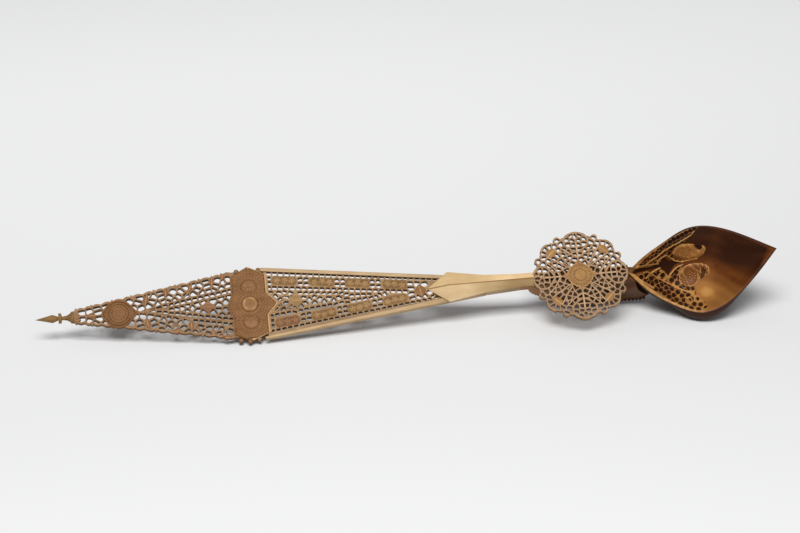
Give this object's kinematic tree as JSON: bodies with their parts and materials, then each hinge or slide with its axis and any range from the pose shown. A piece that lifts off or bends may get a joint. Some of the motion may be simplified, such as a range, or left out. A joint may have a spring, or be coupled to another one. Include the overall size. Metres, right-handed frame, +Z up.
{
  "type": "sherbet spoon",
  "caption": "Long carved wooden sherbet spoon: boat-shaped ladle bowl, ridged stem with a pierced rosette, and a fretwork handle with carved cartouches and a turned finial.",
  "frame": {"origin": "middle of the bottom of the bounding box, on the table that the spoon lies on", "axes": "+X along the spoon from the finial to the tip of the bowl, +Z up from the table, -Y towards the side that the carved face is turned to"},
  "size_m": [0.5048, 0.0604, 0.0557],
  "materials": {
    "pale_wood": "smooth, waxed",
    "fret_wood": "fretted and carved, dry",
    "rosette_wood": "fretted and carved, dry",
    "cartouche_wood": "carved in low relief, waxed",
    "bowl_wood": "oiled, glossy",
    "peg_wood": "turned, plain"
  },
  "bodies": {
    "root": {"finial": "fret_wood", "finial_peg": "peg_wood", "tip_panel": "fret_wood", "tip_cartouche": "cartouche_wood", "waist_cartouche": "cartouche_wood", "root_panel": "fret_wood", "upper_rail": "pale_wood", "lower_rail": "pale_wood", "stem": "pale_wood", "lap_peg_1": "peg_wood", "lap_peg_2": "peg_wood", "rosette": "rosette_wood", "rosette_pin": "rosette_wood", "bowl": "bowl_wood", "bowl_peg_1": "peg_wood", "bowl_peg_2": "peg_wood"}
  },
  "joints": []
}
